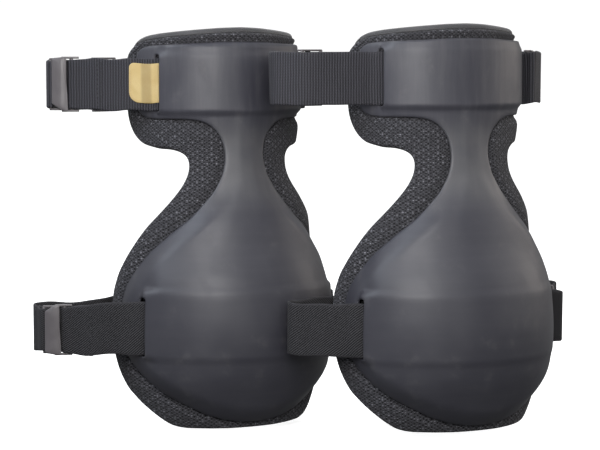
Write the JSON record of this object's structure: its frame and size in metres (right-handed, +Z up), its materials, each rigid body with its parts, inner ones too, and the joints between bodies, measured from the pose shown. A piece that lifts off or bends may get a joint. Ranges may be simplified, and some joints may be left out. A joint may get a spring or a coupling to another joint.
{
  "type": "pair of knee pads",
  "caption": "Two strap-on knee pads, each a moulded rubber shell over a foam liner, held round the leg by an upper webbing strap and a lower elastic strap with hook closures.",
  "frame": {"origin": "between the two legs at knee height, where the wearer's legs hold the pads", "axes": "+Z up the leg, -Y the way the pads face, +X across the pair from the left pad in the picture to the right one"},
  "size_m": [0.4015, 0.2811, 0.2959],
  "materials": {
    "shell": "satin moulded rubber",
    "mesh_foam": "black spacer mesh over foam",
    "lining": "smooth knitted lining",
    "impact_foam": "closed-cell foam",
    "webbing": "ribbed nylon webbing",
    "elastic": "twill-woven elastic",
    "plastic": "satin moulded acetal",
    "label": "woven satin label"
  },
  "bodies": {
    "pads": {"left_outer_shell": "shell", "left_foam_liner": "mesh_foam", "left_inner_lining": "lining", "left_impact_foam": "impact_foam", "left_upper_strap": "webbing", "left_lower_strap": "elastic", "right_outer_shell": "shell", "right_foam_liner": "mesh_foam", "right_inner_lining": "lining", "right_impact_foam": "impact_foam", "right_upper_strap": "webbing", "right_lower_strap": "elastic"},
    "left_upper_tab": {"left_upper_tab": "webbing", "left_size_label": "label"},
    "left_upper_hook": {"left_upper_hook": "plastic"},
    "left_upper_ring": {"left_upper_ring": "plastic"},
    "left_upper_slider": {"left_upper_slider": "plastic"},
    "left_lower_tab": {"left_lower_tab": "elastic"},
    "left_lower_hook": {"left_lower_hook": "plastic"},
    "left_lower_ring": {"left_lower_ring": "plastic"},
    "left_lower_slider": {"left_lower_slider": "plastic"},
    "right_upper_tab": {"right_upper_tab": "webbing"},
    "right_upper_hook": {"right_upper_hook": "plastic"},
    "right_upper_ring": {"right_upper_ring": "plastic"},
    "right_upper_slider": {"right_upper_slider": "plastic"},
    "right_lower_tab": {"right_lower_tab": "elastic"},
    "right_lower_hook": {"right_lower_hook": "plastic"},
    "right_lower_ring": {"right_lower_ring": "plastic"},
    "right_lower_slider": {"right_lower_slider": "plastic"}
  },
  "joints": [
    {"name": "left_upper_tab_swing", "type": "hinge", "parent": "pads", "child": "left_upper_tab", "pos_m": [-0.12058, 0.01311, 0.1829], "axis": [0, 0, 1], "range_deg": [0, 55]},
    {"name": "left_upper_hook_flip", "type": "hinge", "parent": "left_upper_tab", "child": "left_upper_hook", "pos_m": [-0.16509, 0.049, 0.1829], "axis": [0, 0, 1], "range_deg": [0, 45]},
    {"name": "left_upper_ring_turn", "type": "hinge", "parent": "pads", "child": "left_upper_ring", "pos_m": [-0.17829, 0.05713, 0.1829], "axis": [0, 0, 1], "range_deg": [0, 35]},
    {"name": "left_upper_slider_slide", "type": "slide", "parent": "pads", "child": "left_upper_slider", "axis": [-0.9512, -0.3086, 0], "range_m": [-0.0142, 0.0142]},
    {"name": "left_lower_tab_swing", "type": "hinge", "parent": "pads", "child": "left_lower_tab", "pos_m": [-0.14192, -0.00278, 0.0058], "axis": [0, 0, 1], "range_deg": [0, 55]},
    {"name": "left_lower_hook_flip", "type": "hinge", "parent": "left_lower_tab", "child": "left_lower_hook", "pos_m": [-0.17726, 0.03628, 0.0058], "axis": [0, 0, 1], "range_deg": [0, 45]},
    {"name": "left_lower_ring_turn", "type": "hinge", "parent": "pads", "child": "left_lower_ring", "pos_m": [-0.19032, 0.04463, 0.0058], "axis": [0, 0, 1], "range_deg": [0, 35]},
    {"name": "left_lower_slider_slide", "type": "slide", "parent": "pads", "child": "left_lower_slider", "axis": [-0.993, 0.1184, 0], "range_m": [-0.0104, 0.0104]},
    {"name": "right_upper_tab_swing", "type": "hinge", "parent": "pads", "child": "right_upper_tab", "pos_m": [0.1353, -0.09279, 0.1877], "axis": [0, 0, -1], "range_deg": [0, 55]},
    {"name": "right_upper_hook_flip", "type": "hinge", "parent": "right_upper_tab", "child": "right_upper_hook", "pos_m": [0.16414, -0.05931, 0.1877], "axis": [0, 0, -1], "range_deg": [0, 45]},
    {"name": "right_upper_ring_turn", "type": "hinge", "parent": "pads", "child": "right_upper_ring", "pos_m": [0.17422, -0.04754, 0.1877], "axis": [0, 0, -1], "range_deg": [0, 35]},
    {"name": "right_upper_slider_slide", "type": "slide", "parent": "pads", "child": "right_upper_slider", "axis": [0.9766, 0.2149, 0], "range_m": [-0.0132, 0.0132]},
    {"name": "right_lower_tab_swing", "type": "hinge", "parent": "pads", "child": "right_lower_tab", "pos_m": [0.1587, -0.10272, 0.0074], "axis": [0, 0, -1], "range_deg": [0, 55]},
    {"name": "right_lower_hook_flip", "type": "hinge", "parent": "right_lower_tab", "child": "right_lower_hook", "pos_m": [0.17691, -0.0714, 0.0074], "axis": [0, 0, -1], "range_deg": [0, 45]},
    {"name": "right_lower_ring_turn", "type": "hinge", "parent": "pads", "child": "right_lower_ring", "pos_m": [0.18571, -0.05864, 0.0074], "axis": [0, 0, -1], "range_deg": [0, 35]},
    {"name": "right_lower_slider_slide", "type": "slide", "parent": "pads", "child": "right_lower_slider", "axis": [0.9851, -0.1721, 0], "range_m": [-0.0147, 0.0147]}
  ]
}
